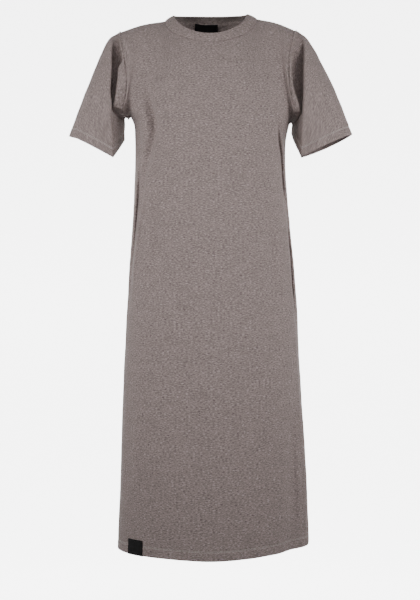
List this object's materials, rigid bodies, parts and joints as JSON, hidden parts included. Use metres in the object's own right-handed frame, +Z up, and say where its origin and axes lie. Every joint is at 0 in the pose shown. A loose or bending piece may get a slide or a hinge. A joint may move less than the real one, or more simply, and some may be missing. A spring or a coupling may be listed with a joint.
{
  "type": "jersey dress",
  "caption": "Short-sleeved, round-necked midi dress in grey-brown heather jersey, filled out as worn, hollow and open at the neck, cuffs and hem.",
  "frame": {"origin": "midway between the two neck points of the shoulder seams, 12 mm in front of them, where the wearer's shoulders hold the dress", "axes": "+Z up along the dress, the wearer faces -Y, +X is the wearer's left"},
  "size_m": [0.6104, 0.3082, 1.1538],
  "materials": {
    "jersey": "matt heather knit",
    "rib": "matt heather knit",
    "label_black": "woven, slight sheen"
  },
  "bodies": {
    "root": {"front": "jersey", "back": "jersey", "sleeve_right": "jersey", "sleeve_left": "jersey", "neckband": "rib", "neck_tape": "jersey", "neck_label": "label_black", "hem_label": "label_black"}
  },
  "joints": []
}
